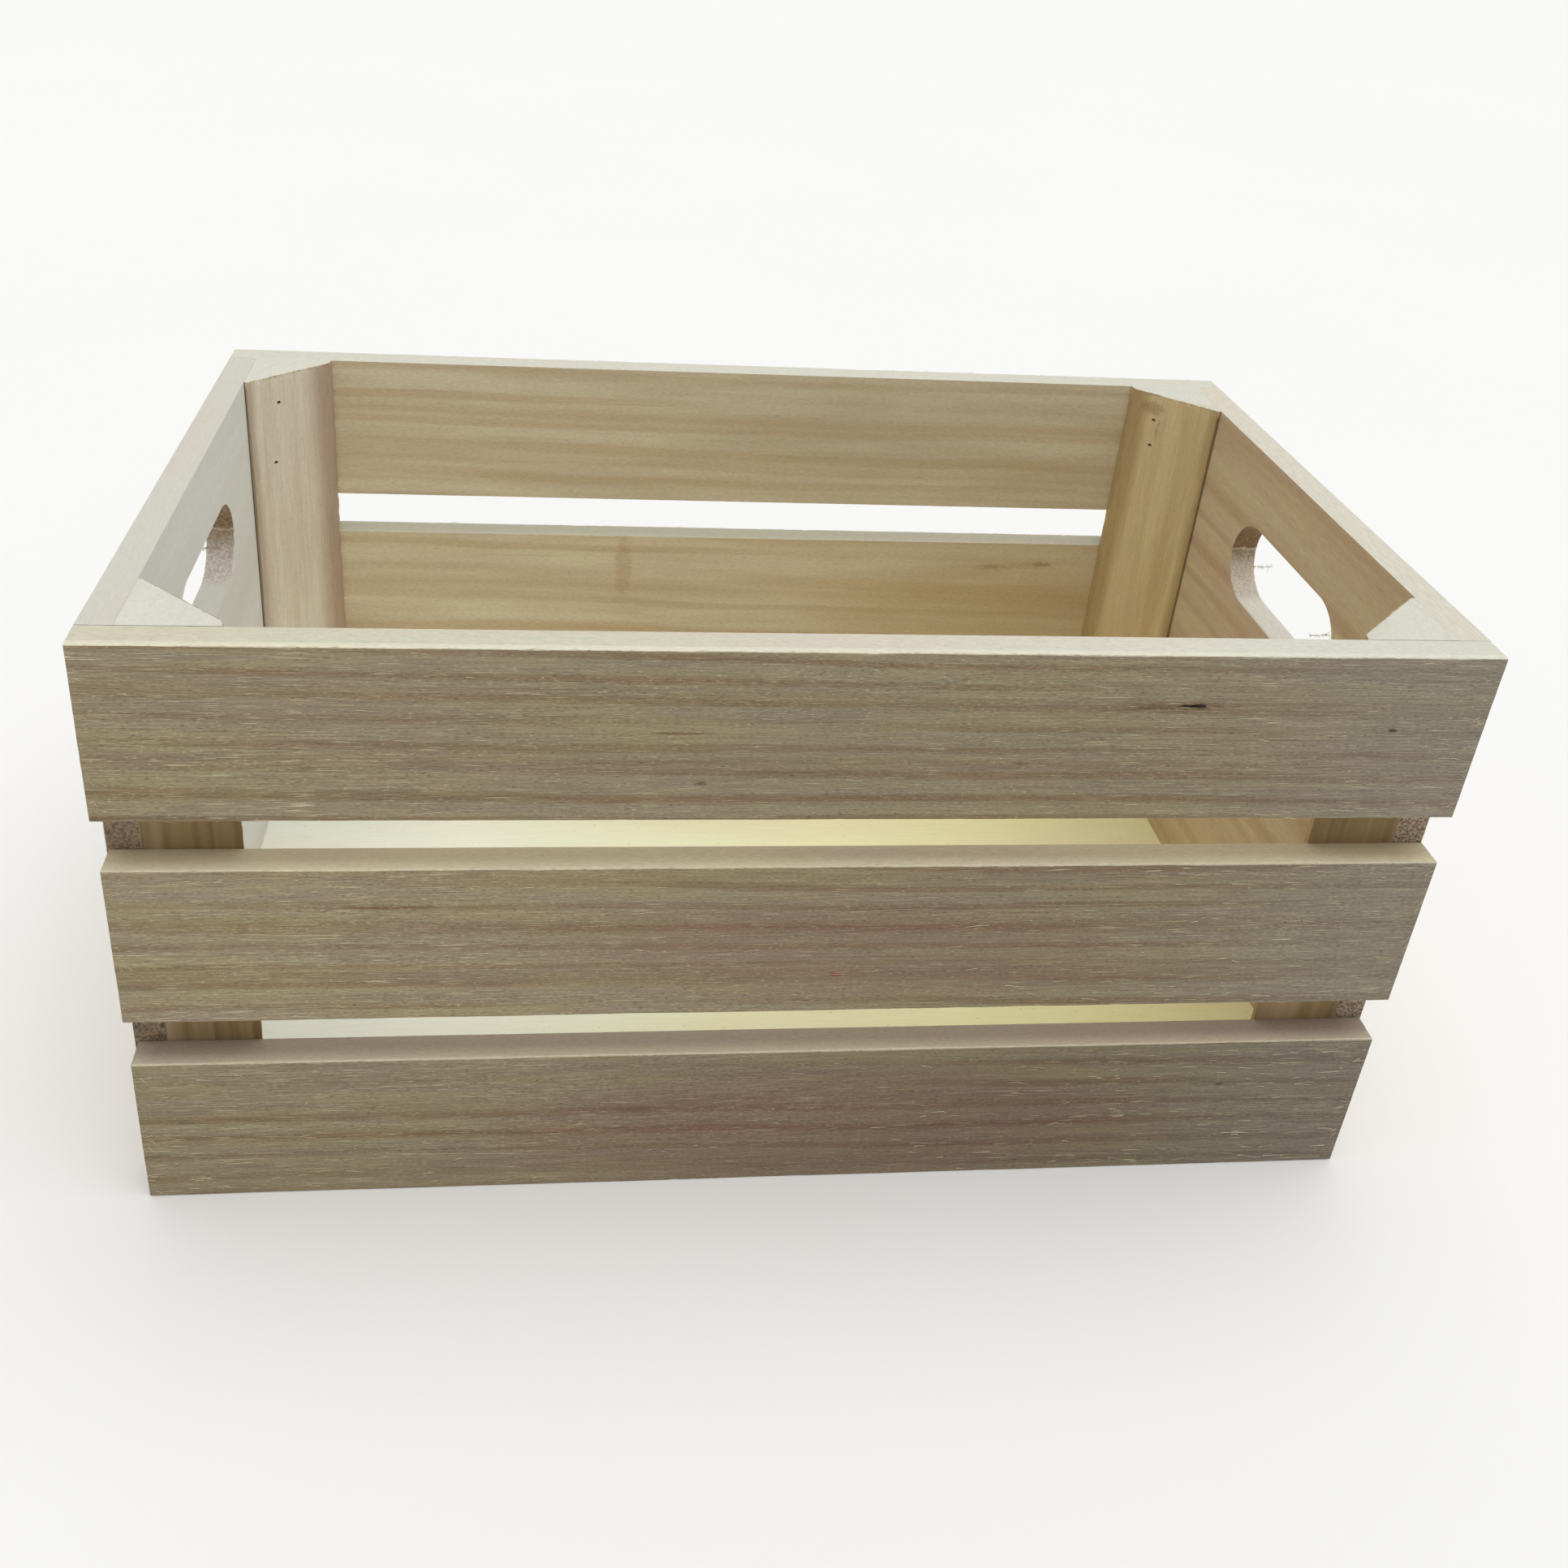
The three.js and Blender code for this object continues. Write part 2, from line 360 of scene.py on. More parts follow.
def wood(name, grain, outward, look, shift, detail=None):
    """Bare wood whose grain runs along one axis. outward is the way its rough face looks, shift
    picks the part of the log, and detail adds the marks that only this piece has."""
    finish = Finish(name)
    place = finish.node("ShaderNodeTexCoord", output="Object")
    facing = finish.node("ShaderNodeTexCoord", output="Normal")
    space = finish.node(
        "ShaderNodeMapping", {}, {"Vector": place, "Location": shift, "Rotation": GRAIN_TURN[grain]}
    )
    grain_axis = [0, 0, 0]
    grain_axis[grain] = 1
    sawn = finish.rise(finish.dot(facing, outward), 0.55, 0.85)
    end_face = finish.rise(abs(finish.dot(facing, grain_axis)), 0.6, 0.9)
    edge_face = (1 - end_face) * finish.rise(abs(finish.dot(facing, outward)), 0.85, 0.6)

    # Growth rings round a pith that lies outside the board, bent by a slow wander
    along, across, through = finish.split(space)
    wander = finish.noise(finish.stretch(space, 5, 22, 22), 2.0)
    radius = (across ** 2 + through ** 2) ** 0.5 + (wander - 0.5) * look["wander"] + along * 0.008
    ring = finish.rings(radius * look["ring_scale"], 2.5, 0.6)
    band = finish.rise(ring, 0.44, 0.72)
    waver = finish.noise(finish.stretch(space, 4, 45, 45), 2.0)
    ripple = (radius * (math.tau / look["ring_pitch"]) + waver * 7).math("SINE")
    ripple = finish.rise(ripple, 0.1, 1.0) * look["ring_share"] * finish.rise(waver, 0.32, 0.58)

    # Patches of cooler and redder wood, long brown lines, then fibres
    patch = finish.rise(finish.noise(finish.stretch(space, 13, 150, 150), 3.0, 0.6), 0.36, 0.66)
    blush = finish.rise(finish.noise(finish.stretch(space, 7, 34, 34), 2.0), 0.46, 0.66)
    line = finish.rise(finish.noise(finish.stretch(space, 9, 1250, 1250), 1.5), 0.6, 0.76)
    (sawn_run, sawn_pitch), (planed_run, planed_pitch) = look["sawn_fibre"], look["planed_fibre"]
    coarse = finish.noise(finish.stretch(space, sawn_run, sawn_pitch, sawn_pitch), 2.0, 0.65)
    even = finish.noise(finish.stretch(space, planed_run, planed_pitch, planed_pitch), 2.0)
    speck = finish.noise(finish.stretch(finish.shift(space, 3.1, 1.7, 0.9), 650, 3000, 3000), 1.0)
    thread = finish.noise(finish.stretch(finish.shift(space, 7.3, 2.9, 4.1), 85, 3700, 3700), 1.0)

    def tones(key):
        plain, cool, stripe = look[key]
        colour = finish.mix(band * look[key + "_bands"], finish.mix(patch, plain, cool), stripe)
        return finish.mix(ripple, colour, stripe)

    colour = finish.mix(sawn, tones("planed"), tones("sawn"))
    colour = finish.mix(blush * look["blush_share"], colour, look["blush"])
    edge = finish.mix(blush, *look["edge"])
    colour = finish.mix(edge_face * look["edge_share"], colour, edge)
    grit, grit_relief = look["end_grit"]
    crumb_place = finish.stretch(finish.shift(place, 1.3, 0.4, 2.2), grit, grit, grit)
    crumb = finish.noise(crumb_place, 3.0, 0.75)
    end_grain = finish.mix(finish.rise(crumb, 0.66, 0.34), *look["end"])
    end_grain = finish.mix(band * 0.22, end_grain, look["sawn"][2])
    colour = finish.mix(end_face * 0.94, colour, end_grain)
    if detail:
        colour = detail(finish, colour, place, facing)
    from_middle = finish.rise(abs(finish.dot(place, grain_axis)), 0.03, 0.17)
    bare = sawn * (1 - end_face) * (0.45 + 0.55 * from_middle)
    swing = sawn * look["sawn_contrast"] * (0.75 + 0.25 * from_middle) * (coarse - 0.5)
    swing = swing + (1 - sawn) * (1 - 0.8 * end_face) * look["planed_contrast"] * (even - 0.5)
    swing = swing + (0.15 + 0.35 * sawn) * look["sawn_contrast"] * (speck - 0.5)
    colour = finish.brighten(colour, 1 + swing)
    streak = line * (0.15 + 0.25 * sawn + 0.5 * sawn * ripple)
    streak = streak * (1 - edge_face * 0.7) * (1 - end_face)
    colour = finish.mix(streak * look["line_share"], colour, look["line"])
    pale = finish.rise(thread, 0.6, 0.72) * (0.45 + 0.55 * patch) * (0.1 + 0.9 * bare)
    colour = finish.mix(pale * look["rough"] * 0.85, colour, look["thread"])
    pit = finish.rise(speck, 0.36, 0.26) * (0.12 + 0.26 * sawn) * look["rough"] * (1 - end_face)
    colour = finish.mix(pit, colour, look["line"])
    glint = finish.rise(speck, 0.66, 0.76) * 0.4 * sawn * look["rough"] * (1 - end_face)
    colour = finish.mix(glint, colour, look["thread"])
    first, last = look["shade"]
    if (first, last) != (1, 1):
        frontward = finish.rise(finish.dot(facing, (0, -1, 0)), 0.5, 0.9)
        sideways = finish.rise(finish.dot(place, (1, 0, 0)), -0.16, 0.12)
        colour = finish.brighten(colour, 1 + frontward * (first - 1 + (last - first) * sideways))

    relief = (coarse * 0.12 + pale * 0.10 - pit * 0.12) * (0.3 + 0.7 * sawn) * (1 - end_face)
    relief = relief * (look["rough"] * MM)
    relief = relief + end_face * crumb * (grit_relief * MM)
    finish.surface(
        Base_Color=colour,
        Roughness=0.74 + 0.2 * coarse,
        Normal=finish.bump(relief),
        Specular_IOR_Level=0.2,
    )
    return finish.material


def slat_detail(side, level):
    """The painted highlight on a front slat's arris and upper edge, the greyer right end of a front
    slat, the pale rim of a top one, and the blots and knots of each slat: centre, radii, colour and
    strength."""
    front = FRONT_FACE
    back = INNER_BACK_FACE
    blots = {
        ("front", "top"): [
            ((105, front, 188), (17, 2.5, 1.4), srgb(112, 82, 54), 0.5),
            ((108.5, front, 188), (5, 2.5, 0.85), srgb(44, 28, 18), 0.95),
            ((171, front, 180), (1.6, 2.5, 0.8), srgb(70, 46, 30), 0.8),
            ((-39, front, 178), (9, 2.5, 0.5), srgb(96, 66, 40), 0.6),
            ((-32, front, 161), (1.9, 2.5, 0.9), srgb(84, 58, 40), 0.55),
            ((60, front, 168), (3, 2.5, 0.7), srgb(108, 76, 50), 0.4),
        ],
        ("front", "middle"): [
            ((14, front, 89), (2.2, 2.5, 1.3), srgb(150, 82, 52), 0.7),
            ((-120, front, 117), (14, 2.5, 0.6), srgb(108, 78, 50), 0.45),
            ((20, front, 98), (95, 2.5, 22), srgb(138, 104, 92), 0.3),
        ],
        ("front", "bottom"): [
            ((20, front, 24), (120, 2.5, 28), srgb(138, 98, 92), 0.4),
            ((150, front, 38), (1.5, 2.5, 0.8), srgb(84, 58, 42), 0.6),
        ],
        ("back", "middle"): [
            ((-45, back, 117), (4, 2.5, 16), srgb(182, 140, 112), 0.35),
            ((115, back, 119.5), (10, 2.5, 1.9), srgb(158, 122, 80), 0.3),
            ((115, back, 119.5), (4.5, 2.5, 1), srgb(138, 102, 64), 0.35),
            ((134, back, 120.5), (11, 2.5, 2), srgb(158, 122, 80), 0.3),
            ((137, back, 121), (5, 2.5, 1.1), srgb(130, 92, 58), 0.4),
            ((125, back, 95), (95, 2.5, 32), srgb(186, 156, 96), 0.35),
        ],
    }

    def detail(finish, colour, place, facing):
        if side == "front":
            # Painted highlight: the arris and a strip just behind it on the upper edge are painted
            # pale, as if catching the light from above
            arris_highlight = finish.rise(finish.dot(facing, (0, -0.7071, 0.7071)), 0.84, 0.95)
            start, full, share = PAINTED_HIGHLIGHT_STRIP[level]
            highlight_band = finish.rise(finish.dot(place, (0, 1, 0)), start * MM, full * MM)
            highlight_band = highlight_band * finish.rise(finish.dot(facing, (0, 0, 1)), 0.6, 0.9)
            tint = srgb(238, 231, 207) if level == "top" else srgb(226, 216, 188)
            colour = finish.mix(arris_highlight * 0.75 + highlight_band * share * (1 - arris_highlight), colour, tint)
            greyer = finish.rise(finish.dot(place, (1, 0, 0)), 95 * MM, 190 * MM)
            greyer = greyer * finish.rise(finish.dot(facing, (0, -1, 0)), 0.5, 0.9)
            colour = finish.mix(greyer * 0.32, colour, srgb(148, 144, 144))
        if level == "top":
            upward = finish.rise(finish.dot(facing, (0, 0, 1)), 0.6, 0.9)
            if side == "front":
                upward = upward * finish.rise(finish.dot(place, (1, 0, 0)), -100 * MM, 150 * MM)
            colour = finish.mix(upward * 0.45, colour, srgb(222, 223, 214))
        for centre, radii, tint, strength in blots.get((side, level), []):
            wild = 0.35 if radii[0] > 50 else 1.3
            centre = [c * MM for c in centre]
            reach = [r * MM for r in radii]
            colour = finish.mark(colour, place, centre, reach, tint, strength, wild)
        return colour

    return detail


def panel_detail(finish, colour, place, facing):
    """The walls of a hand-hole: painted shade above its middle, where they face down, a torn seam
    there, and paler downwards, painted light where they face up.
    """
    left = finish.rise(finish.dot(place, (1, 0, 0)), 0.01, -0.01)
    middle = RIM - HANDLE_DROP - HANDLE_HEIGHT / 2
    half = HANDLE_LENGTH / 2
    near = finish.rise(abs(finish.dot(place, (0, 1, 0))), half + 3 * MM, half + 1 * MM)
    height = finish.dot(place, (0, 0, 1)) - middle
    wall = finish.rise(abs(finish.dot(facing, (1, 0, 0))), 0.75, 0.45) * near
    wall = wall * finish.rise(abs(height), HANDLE_HEIGHT / 2 + 3 * MM, HANDLE_HEIGHT / 2 + 1 * MM)
    ragged = finish.noise(finish.stretch(place, 500, 500, 900), 2.0) - 0.5
    # Painted shade and light: walls above the middle face down and are painted dark, walls below face
    # up and are painted pale
    upper = finish.rise(height + ragged * 2 * MM, -0.6 * MM, 0.6 * MM)
    crumb = finish.rise(finish.noise(finish.stretch(place, 1000, 1000, 1000), 3.0, 0.7), 0.36, 0.66)
    rounded = finish.rise(abs(finish.dot(place, (0, 1, 0))), 24 * MM, 32 * MM)
    deep = finish.mix(left, srgb(204, 188, 166), srgb(184, 174, 164))
    torn = finish.mix(crumb, deep, srgb(222, 214, 202))
    straight = finish.mix(left, srgb(232, 228, 214), srgb(208, 207, 196))
    torn = finish.mix(rounded, straight, torn)
    # Painted light: below the middle the wall runs from brown to pale as it turns upward
    half_shaded_wall = finish.mix(crumb, srgb(146, 122, 96), srgb(188, 168, 144))
    torn = finish.mix(finish.rise(height + ragged * 3 * MM, -0.5 * MM, -8 * MM), half_shaded_wall, torn)
    # The painted shade above the middle, with paler crumbs on the left panel
    shaded_upper_wall = finish.mix(crumb, srgb(124, 96, 66), srgb(146, 120, 90))
    shaded_upper_wall = finish.mix(left * crumb * 0.6, shaded_upper_wall, srgb(178, 160, 136))
    seam = finish.rise(abs(height + ragged * 2 * MM), 0.6 * MM, 0.2 * MM) * rounded
    walls = finish.mix(seam * 0.6, finish.mix(upper, torn, shaded_upper_wall), srgb(222, 208, 184))
    return finish.mix(wall * 0.9, colour, walls)


def post_detail(corner):
    """Darker stains along both long edges of a post's slope, and a thin dark line at its heel, where
    the slope meets the end panel.
    """
    side_x, side_y = CORNERS[corner]
    down_slope = Vector((-side_x * POST_TRIANGLE_X, side_y * POST_TRIANGLE_Y, 0)).normalized()
    low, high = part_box(f"corner_post_{corner}")
    heel = Vector((high.x if side_x > 0 else low.x, high.y if side_y > 0 else low.y, 0))
    start = heel + Vector((0, -side_y * (high.y - low.y), 0))
    pink = corner.endswith("left")
    stain = srgb(170, 139, 117) if pink else srgb(154, 121, 76)

    def detail(finish, colour, place, facing):
        wobble = finish.noise(finish.stretch(place, 60, 60, 14), 2.5) - 0.5
        run = finish.dot(place, tuple(down_slope)) - start.dot(down_slope) + wobble * 5 * MM
        nose = finish.rise(run, SLOPE_WIDTH - (12 if pink else 9) * MM, SLOPE_WIDTH - 3 * MM)
        heel_side = finish.rise(run, 5 * MM, 1.5 * MM)
        slope = finish.rise(finish.dot(facing, (-side_x * 0.7071, -side_y * 0.7071, 0)), 0.55, 0.85)
        colour = finish.mix(nose * slope * (0.75 if pink else 0.6), colour, stain)
        colour = finish.mix(heel_side * slope * 0.5, colour, stain)
        # A thin dark line along the heel, where the slope meets the end panel
        heel_line = finish.rise(run - wobble * 3.5 * MM, 0.8 * MM, 0.3 * MM)
        heel_line = heel_line * finish.rise(finish.dot(place, (0, 0, 1)), RIM - 1 * MM, RIM - 4 * MM)
        colour = finish.mix(heel_line * slope * 0.6, colour, srgb(84, 60, 40))
        if corner == "back_right":
            for centre, radii in (((169, 94, 199), (5, 5, 3)), ((172, 92, 190), (1, 1, 6))):
                centre = [c * MM for c in centre]
                colour = finish.mark(colour, place, centre, [r * MM for r in radii], stain, 0.5)
        return colour

    return detail


def plywood(name):
    """Smooth cream plywood with a faint veneer figure along X."""
    finish = Finish(name)
    place = finish.node("ShaderNodeTexCoord", output="Object")
    figure = finish.noise(finish.stretch(place, 3, 26, 26), 3.0, 0.55, 0.6)
    fibre = finish.noise(finish.stretch(place, 60, 1500, 1500), 2.0)
    speck = finish.noise(finish.stretch(place, 500, 900, 900), 1.0)
    warmth = finish.rise(finish.dot(place, (1, 0, 0)) + (figure - 0.5) * 0.25, -0.22, 0.16)
    colour = finish.mix(warmth, srgb(243, 247, 236), srgb(243, 241, 186))
    colour = finish.mix(finish.rise(figure, 0.5, 0.7) * 0.3, colour, srgb(236, 220, 202))
    colour = finish.brighten(colour, 0.93 + 0.14 * fibre)
    colour = finish.mix(finish.rise(speck, 0.72, 0.8) * 0.5, colour, srgb(170, 140, 90))
    finish.surface(
        Base_Color=colour,
        Roughness=0.55 + 0.15 * fibre,
        Normal=finish.bump(fibre * 0.02 * MM),
        Specular_IOR_Level=0.3,
    )
    return finish.material


def steel(name):
    """Dark dull steel wire, faintly mottled."""
    finish = Finish(name)
    place = finish.node("ShaderNodeTexCoord", output="Object")
    mottle = finish.noise(finish.stretch(place, 900, 900, 900), 2.0)
    colour = finish.mix(mottle, srgb(52, 44, 36), srgb(86, 78, 70))
    finish.surface(Base_Color=colour, Metallic=1.0, Roughness=0.35 + 0.3 * mottle)
    return finish.material


def straw(name):
    """Pale loose wood fibre."""
    finish = Finish(name)
    place = finish.node("ShaderNodeTexCoord", output="Object")
    tint = finish.noise(finish.stretch(place, 60, 260, 260), 2.0)
    colour = finish.mix(finish.rise(tint, 0.36, 0.64), srgb(222, 212, 180), srgb(184, 169, 136))
    finish.surface(Base_Color=colour, Roughness=0.7, Specular_IOR_Level=0.2)
    return finish.material


def studio_floor(name):
    finish = Finish(name)
    place = finish.node("ShaderNodeTexCoord", output="Object")
    grey = finish.noise(finish.stretch(place, 2, 2, 2), 2.0)
    colour = finish.mix(grey, srgb(246, 246, 245), srgb(248, 248, 247))
    finish.surface(Base_Color=colour, Roughness=0.9, Specular_IOR_Level=0.1)
    return finish.material


# ---------------------------------------------------------------- meshes

def finish_piece(name, bm, material, nodes):
    """Puts a mesh in the scene as a piece that stands for CAD nodes."""
    for face in bm.faces:
        face.smooth = True
    for edge in bm.edges:
        edge.smooth = edge.calc_face_angle(0) < math.radians(38)
    mesh = bpy.data.meshes.new(name)
    bm.to_mesh(mesh)
    bm.free()
    mesh.materials.append(material)
    piece = bpy.data.objects.new(name, mesh)
    bpy.context.scene.collection.objects.link(piece)
    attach(piece, "root")
    if nodes:
        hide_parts(*nodes)
    return piece


def stations(size, steps, pitch):
    """Places across a board from 0 to its size, close together at the two edges."""
    inner = size - 2 * steps[-1]
    count = max(1, round(inner / pitch))
    middle = [steps[-1] + inner * i / count for i in range(1, count)]
    return [0, *steps, *middle, *(size - step for step in reversed(steps)), size]


def gridded_block(low, high, pitch):
    """A closed box with edge loops at the stations along each axis."""
    places = [stations(high[a] - low[a], EDGE_STEPS, pitch[a]) for a in (X, Y, Z)]
    bm = bmesh.new()
    bmesh.ops.create_cube(bm, size=1)
    for axis in (X, Y, Z):
        uncut = [e for e in bm.edges if abs((e.verts[1].co - e.verts[0].co)[axis]) > 0.5]
        bmesh.ops.subdivide_edges(bm, edges=uncut, cuts=len(places[axis]) - 2)
    for vert in bm.verts:
        for axis in (X, Y, Z):
            index = round((vert.co[axis] + 0.5) * (len(places[axis]) - 1))
            vert.co[axis] = low[axis] + places[axis][index]
    return bm


def wear_board(bm, low, high, grain, outward, seed, ridge, easings):
    """Eases a board's edges unevenly and gives its faces shallow ridges along the grain. easings
    are the radii of its outer upper, outer lower and inner long edges, and of its ends."""
    upper, lower, inner, ends = easings
    centre = (low + high) / 2
    half = (high - low) / 2
    offset = Vector((seed * 13.7, seed * 5.3, seed * 2.9))
    slow = Vector((60, 60, 60))
    slow[grain] = 9
    fine = Vector((330, 330, 330))
    fine[grain] = 28
    for vert in bm.verts:
        place = vert.co - centre
        edge_seed = seed + (3 if place.z > 0 else 0) + (7 if place.dot(outward) > 0 else 0)
        chip = noise.noise(Vector((place[grain] * 70, edge_seed, 0.5)))
        nick = max(0.0, noise.noise(Vector((place[grain] * 260, edge_seed + 9.5, 0.5))) - 0.3)
        radius = inner if place.dot(outward) < 0 else upper if place.z > 0 else lower
        radius *= 1 + 0.35 * chip + 1.5 * nick
        reach = Vector((radius, radius, radius))
        reach[grain] = ends
        bound = half - reach
        base = Vector(max(-b, min(b, p)) for b, p in zip(bound, place))
        lean = Vector((p - b) / r for p, b, r in zip(place, base, reach))
        if lean.length > 1:
            lean.normalize()
        out = lean.normalized()
        depth = 0.5 + noise.noise(Vector(p * s for p, s in zip(vert.co + offset, fine)))
        sweep = 0.5 + noise.noise(Vector(p * s for p, s in zip(vert.co + offset, slow)))
        inset = ridge * (0.35 + 0.65 * max(0.0, out.dot(outward))) * (depth + 1.2 * sweep)
        if abs(out[grain]) > 0.9:
            spot = vert.co + offset
            crumb = noise.noise(spot * 620) + 0.6 * noise.noise(spot * 240)
            inset = (0.2 + 0.26 * crumb) * MM
        vert.co = centre + Vector(b + r * k for b, r, k in zip(base, reach, lean)) - out * inset


def cut_away(bm, cutter):
    """The mesh less the cutter, both given as bmesh."""
    parts = []
    for name, source in (("board", bm), ("cutter", cutter)):
        mesh = bpy.data.meshes.new(name)
        source.to_mesh(mesh)
        source.free()
        part = bpy.data.objects.new(name, mesh)
        bpy.context.scene.collection.objects.link(part)
        parts.append(part)
    board, tool = parts
    cut = board.modifiers.new("cut", "BOOLEAN")
    cut.operation = "DIFFERENCE"
    cut.solver = "EXACT"
    cut.object = tool
    shape = board.evaluated_get(bpy.context.evaluated_depsgraph_get())
    result = bmesh.new()
    result.from_mesh(shape.to_mesh())
    shape.to_mesh_clear()
    for part in parts:
        mesh = part.data
        bpy.data.objects.remove(part)
        bpy.data.meshes.remove(mesh)
    return result


def check_cutter(centre, radii):
    """A thin lens that opens a drying check in a face."""
    bm = bmesh.new()
    bmesh.ops.create_icosphere(bm, subdivisions=3, radius=1)
    for vert in bm.verts:
        drift = noise.noise(Vector((vert.co.x * 2.5, 0.5, 0.5)))
        ragged = 1 + 0.5 * noise.noise(vert.co * 3.7)
        vert.co.z = vert.co.z * ragged + drift * 0.8
        vert.co = Vector(c + v * r for c, v, r in zip(centre, vert.co, radii))
    return bm


def slat(side, level, material, seed):
    node = f"slat_{side}_{level}"
    low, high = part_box(node)
    bm = gridded_block(low, high, SLAT_PITCH)
    outward = Vector((0, 1 if side == "back" else -1, 0))
    easings = (UPPER_EASING, LOWER_EASING, INNER_EASING, END_EASING)
    wear_board(bm, low, high, X, outward, seed, 0.10 * MM, easings)
    if (side, level) == ("front", "top"):
        lens = [r * MM for r in (4.2, 0.7, 0.28)]
        bm = cut_away(bm, check_cutter((108.5 * MM, low.y, 188 * MM), lens))
    return finish_piece(f"{side}_{level}_slat", bm, material, [node])


def hand_hole_cutter(low, high, seed):
    """A stadium-shaped plug that flares at the board's two faces and is rough below."""
    radius = HANDLE_HEIGHT / 2
    straight = HANDLE_LENGTH / 2 - radius
    middle = high.z - HANDLE_DROP - radius
    thickness = high.x - low.x
    bm = bmesh.new()
    turn = Matrix.Rotation(math.pi / 2, 4, "Y") @ Matrix.Rotation(math.pi / HANDLE_SEGMENTS, 4, "Z")
    bmesh.ops.create_circle(bm, segments=HANDLE_SEGMENTS, radius=radius, matrix=turn)
    ring = bm.edges[:]
    for vert in bm.verts:
        vert.co.y += math.copysign(straight, vert.co.y)
    flare = [(-1.2, 1.3), (0, 0.45), (0.25, 0.16), (0.7, 0)]
    body = [(0.7 + (thickness / MM - 1.4) * i / 12, 0) for i in range(1, 12)]
    mirror = [(thickness / MM - depth, growth) for depth, growth in reversed(flare)]
    rings = []
    for depth, growth in [*flare, *body, *mirror]:
        if rings:
            made = bmesh.ops.extrude_edge_only(bm, edges=ring)["geom"]
            verts = [g for g in made if isinstance(g, bmesh.types.BMVert)]
            ring = [g for g in made if isinstance(g, bmesh.types.BMEdge)]
        else:
            verts = bm.verts[:]
        rings.append(ring)
        for vert in verts:
            hub = Vector((0, max(-straight, min(straight, vert.co.y)), 0))
            out = Vector((0, vert.co.y - hub.y, vert.co.z)).normalized()
            torn = max(0.0, -out.z + 0.15) * abs(out.y) + 0.12
            bite = noise.noise(Vector((depth * 1.3, vert.co.z * 900, vert.co.y * 900 + seed)))
            vert.co = hub + out * (radius + (growth + torn * bite * 0.6) * MM)
            vert.co.x = depth * MM
    for rim in (rings[0], rings[-1]):
        bmesh.ops.edgeloop_fill(bm, edges=rim)
    bmesh.ops.translate(bm, verts=bm.verts, vec=(low.x, (low.y + high.y) / 2, middle))
    bmesh.ops.recalc_face_normals(bm, faces=bm.faces)
    return bm


def end_panel(end, material, seed):
    node = f"end_panel_{end}"
    low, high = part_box(node)
    bm = gridded_block(low, high, PANEL_PITCH)
    outward = Vector((1 if end == "right" else -1, 0, 0))
    easings = (INNER_EASING, LOWER_EASING, INNER_EASING, END_EASING)
    wear_board(bm, low, high, Y, outward, seed, 0.06 * MM, easings)
    bm = cut_away(bm, hand_hole_cutter(low, high, seed))
    return finish_piece(f"{end}_end_panel", bm, material, [node])


def brad_hole_cutters(corner):
    """One short round plug for each brad of a post, from its head out past the sloping face."""
    bm = bmesh.new()
    for name in sorted(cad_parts):
        if not name.startswith(f"brad_{corner}_"):
            continue
        low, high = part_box(name)
        side = CORNERS[corner]
        into_panel = name.split("_")[3] == "end"
        axis = X if into_panel else Y
        sign = side[0] if into_panel else side[1]
        head = (low + high) / 2
        head[axis] = (low if sign > 0 else high)[axis]
        turn = Matrix.Rotation(math.pi / 2, 4, "Y" if into_panel else "X")
        middle = head.copy()
        middle[axis] -= sign * (BRAD_HOLE_DEPTH / 2 - BRAD_HOLE_START)
        bmesh.ops.create_cone(
            bm, cap_ends=True, segments=16, radius1=BRAD_HOLE_RADIUS, radius2=BRAD_HOLE_RADIUS,
            depth=BRAD_HOLE_DEPTH, matrix=Matrix.Translation(middle) @ turn,
        )
    return bm


